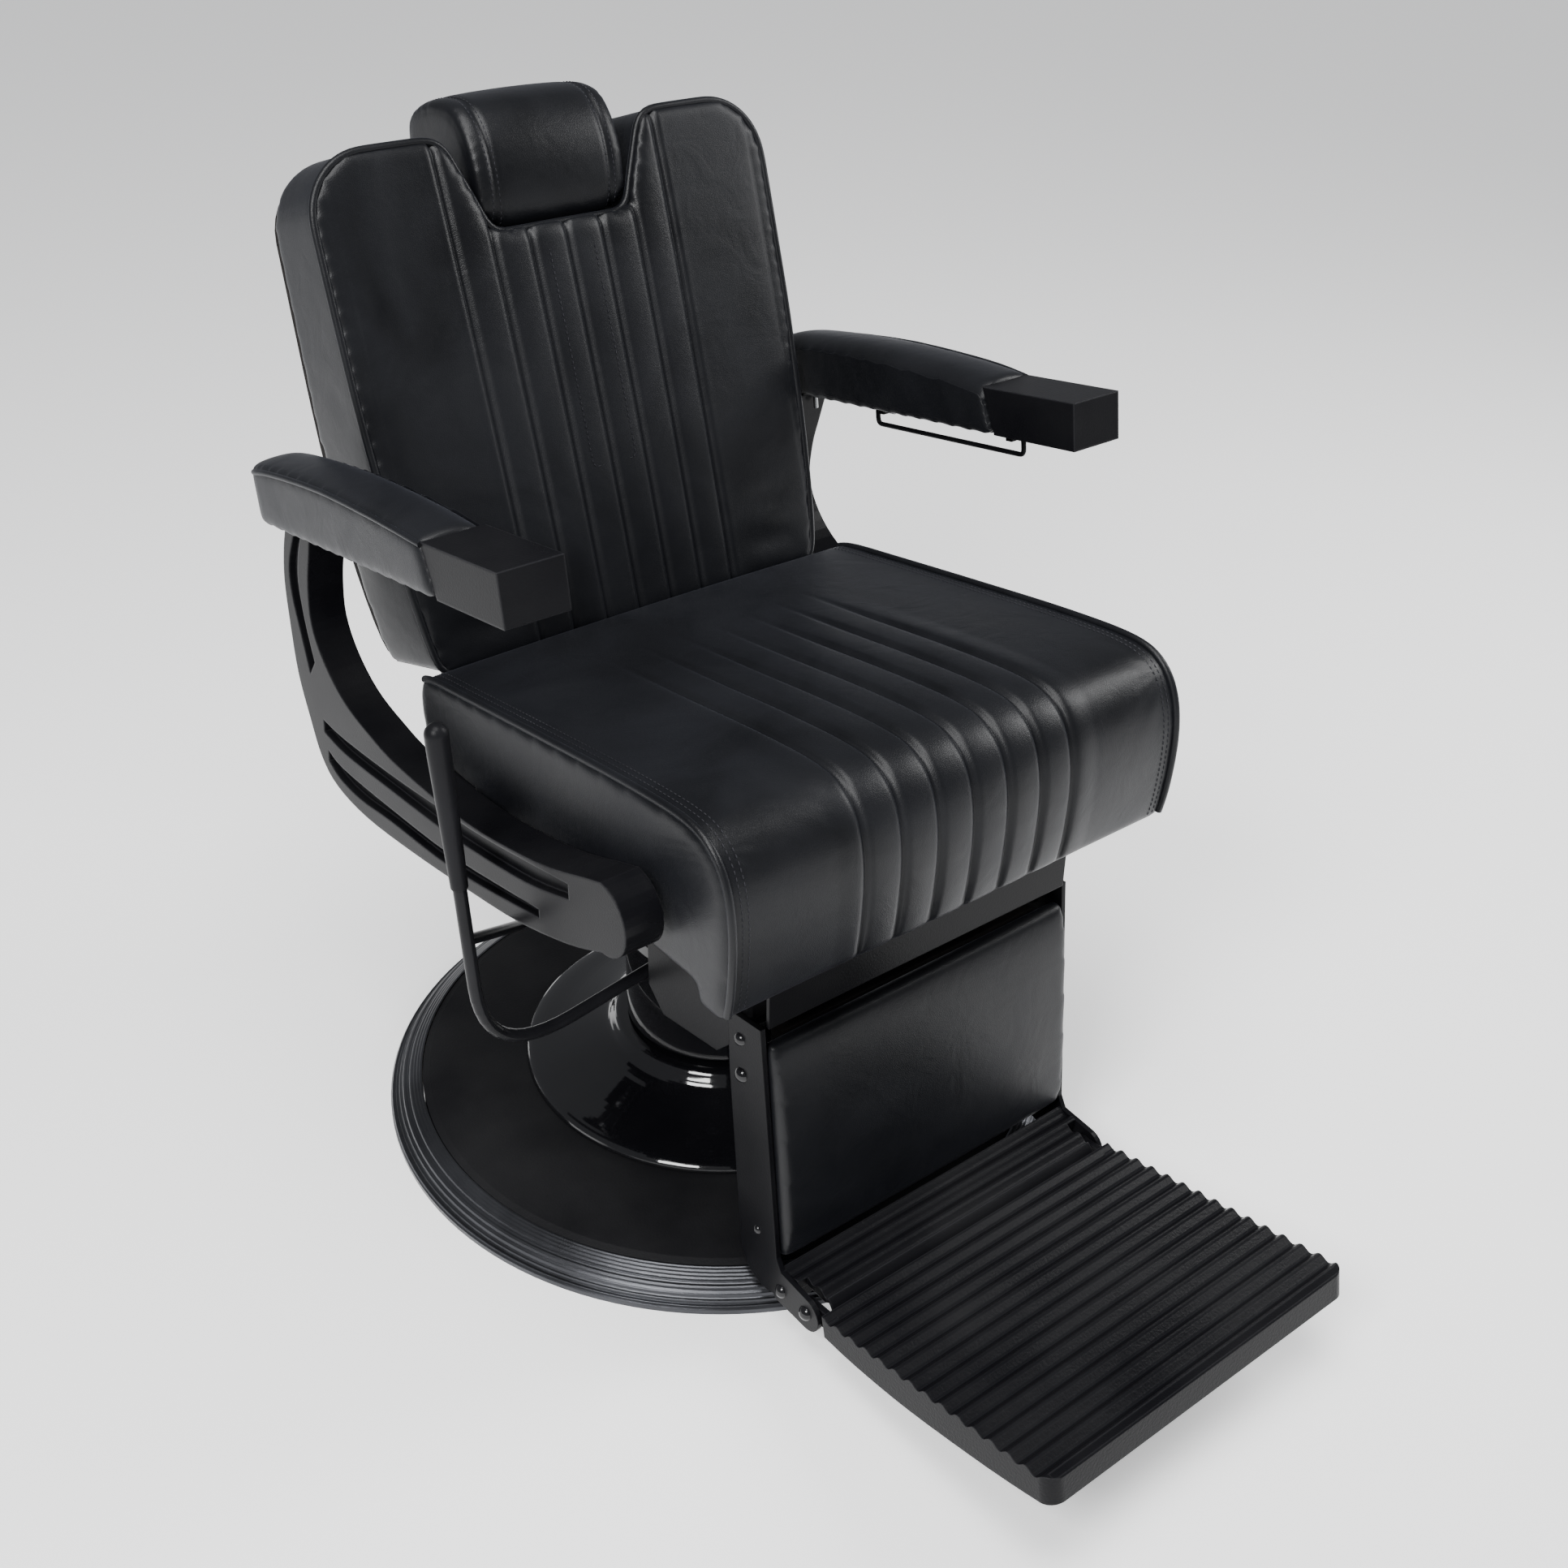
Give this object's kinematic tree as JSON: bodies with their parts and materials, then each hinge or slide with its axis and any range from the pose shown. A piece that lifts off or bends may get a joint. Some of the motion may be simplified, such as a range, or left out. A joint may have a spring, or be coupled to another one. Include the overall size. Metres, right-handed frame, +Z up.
{
  "type": "hydraulic barber chair",
  "caption": "Black padded barber chair on a round base with hydraulic lift, reclining back, sliding headrest, armrests, side pump lever and a linked leg rest with a flip-up footplate.",
  "frame": {"origin": "centre of the base's foot, on the floor", "axes": "+Z up, the sitter faces -Y, +X is the sitter's left; the pump lever is on the -X side"},
  "size_m": [0.7157, 1.0477, 0.9489],
  "materials": {
    "black_leather": "satin",
    "satin_black_metal": "satin",
    "satin_black_casting": "satin",
    "satin_black_cap": "satin",
    "gloss_black_metal": "gloss",
    "gloss_black_bolts": "gloss",
    "matte_black_iron": "matte",
    "worn_grey_ring": "satin",
    "cast_pump_iron": "satin",
    "hard_chrome": "polished",
    "ground_steel": "satin",
    "spring_steel": "satin",
    "zinc_steel": "satin",
    "bronze": "satin",
    "black_rubber": "matte",
    "black_plastic_grip": "satin",
    "white_nylon": "matte",
    "plywood": "matte"
  },
  "bodies": {
    "base": {"base_disc": "matte_black_iron", "base_trim_ring": "worn_grey_ring", "base_foot_ring": "black_rubber", "bell_cover": "gloss_black_metal", "pump_cylinder": "cast_pump_iron", "cylinder_bolts": "zinc_steel", "ram_guide_bush": "bronze", "ram_wiper_seal": "black_rubber"},
    "ram": {"ram": "hard_chrome", "ram_piston_seal": "black_rubber", "swivel_thrust_washer": "bronze", "plunger_spring": "spring_steel"},
    "seat": {"swivel_bush": "bronze", "pump_head": "cast_pump_iron", "mount_plate": "satin_black_metal", "mount_bolts": "zinc_steel", "column_sleeve": "gloss_black_metal", "underframe": "satin_black_metal", "arm_brackets": "satin_black_metal", "arm_bracket_bolts": "zinc_steel", "arm_frame_right": "satin_black_casting", "arm_frame_left": "satin_black_casting", "arm_board_right": "plywood", "arm_board_left": "plywood", "arm_pad_right": "black_leather", "arm_pad_left": "black_leather", "arm_cap_right": "satin_black_cap", "arm_cap_left": "satin_black_cap", "arm_board_screws": "zinc_steel", "bail_clips": "satin_black_metal", "bail_spring": "spring_steel", "seat_board": "plywood", "seat_cushion": "black_leather", "recline_bushes": "bronze", "lock_pin": "ground_steel"},
    "plunger": {"pump_plunger": "ground_steel"},
    "lever": {"lever_shaft": "ground_steel", "pump_lever": "satin_black_metal", "lever_grip": "black_plastic_grip"},
    "back": {"recline_shaft": "ground_steel", "back_brackets": "satin_black_metal", "back_board": "plywood", "back_cushion": "black_leather", "headrest_guide": "satin_black_metal", "headrest_liner": "white_nylon"},
    "headrest": {"headrest_post": "ground_steel", "headrest_pad": "black_leather"},
    "lock_body": {"lock_cylinder": "satin_black_metal"},
    "lock_rod": {"lock_rod": "hard_chrome"},
    "link_right": {"link_bar_right": "satin_black_metal"},
    "link_left": {"link_bar_left": "satin_black_metal"},
    "leg": {"leg_side_plates": "satin_black_metal", "leg_pivot_bolts": "gloss_black_bolts", "leg_fixing_screws": "gloss_black_bolts", "calf_board": "plywood", "calf_pad": "black_leather", "heel_tread": "satin_black_casting", "flip_pins": "gloss_black_bolts"},
    "foot": {"footplate": "satin_black_casting"},
    "bail": {"recline_bail": "satin_black_metal"}
  },
  "joints": [
    {"name": "seat_lift", "type": "slide", "parent": "base", "child": "ram", "axis": [0, 0, 1], "range_m": [0, 0.145]},
    {"name": "seat_swivel", "type": "hinge", "parent": "ram", "child": "seat", "pos_m": [0, 0, 0.25], "axis": [0, 0, 1], "continuous": true},
    {"name": "recline", "type": "hinge", "parent": "seat", "child": "back", "pos_m": [0, 0.168, 0.416], "axis": [-1, 0, 0], "range_deg": [0, 45]},
    {"name": "leg_rest", "type": "hinge", "parent": "seat", "child": "leg", "pos_m": [0, -0.265, 0.296], "axis": [-1, 0, 0], "range_deg": [0, 45]},
    {"name": "link_right_pivot", "type": "hinge", "parent": "back", "child": "link_right", "pos_m": [-0.161, 0.166, 0.378], "axis": [-1, 0, 0], "range_deg": [-45, 0]},
    {"name": "link_left_pivot", "type": "hinge", "parent": "back", "child": "link_left", "pos_m": [0.161, 0.166, 0.378], "axis": [-1, 0, 0], "range_deg": [-45, 0]},
    {"name": "lock_tilt", "type": "hinge", "parent": "seat", "child": "lock_body", "pos_m": [0, -0.118, 0.336], "axis": [1, 0, 0], "range_deg": [0, 4]},
    {"name": "lock_slide", "type": "slide", "parent": "lock_body", "child": "lock_rod", "axis": [0, -0.9893, -0.1459], "range_m": [0, 0.026]},
    {"name": "footplate_flip", "type": "hinge", "parent": "leg", "child": "foot", "pos_m": [0, -0.361, 0.047], "axis": [-1, 0, 0], "range_deg": [0, 60]},
    {"name": "headrest_height", "type": "slide", "parent": "back", "child": "headrest", "axis": [0, 0.2924, 0.9563], "range_m": [0, 0.09]},
    {"name": "pump_lever_swing", "type": "hinge", "parent": "seat", "child": "lever", "pos_m": [0.03, 0, 0.286], "axis": [0, -1, 0], "range_deg": [0, 16], "stiffness_Nm_per_rad": 20, "springref_deg": -20.05},
    {"name": "pump_stroke", "type": "slide", "parent": "seat", "child": "plunger", "axis": [0, 0, -1], "range_m": [0, 0.0095], "deforming": ["plunger_spring"]},
    {"name": "bail_squeeze", "type": "hinge", "parent": "seat", "child": "bail", "pos_m": [0.297, 0.12221, 0.63985], "axis": [0, -0.989, 0.1478], "range_deg": [0, 35], "stiffness_Nm_per_rad": 0.25, "springref_deg": -17.19}
  ],
  "couplings": [
    {"joint": "leg_rest", "follows": "recline", "ratio": 1},
    {"joint": "link_right_pivot", "follows": "recline", "ratio": -1},
    {"joint": "link_left_pivot", "follows": "recline", "ratio": -1},
    {"joint": "lock_tilt", "follows": "recline", "ratio": 0.0784},
    {"joint": "lock_slide", "follows": "recline", "m_per_rad": 0.0302},
    {"joint": "pump_stroke", "follows": "pump_lever_swing", "m_per_rad": 0.032}
  ]
}
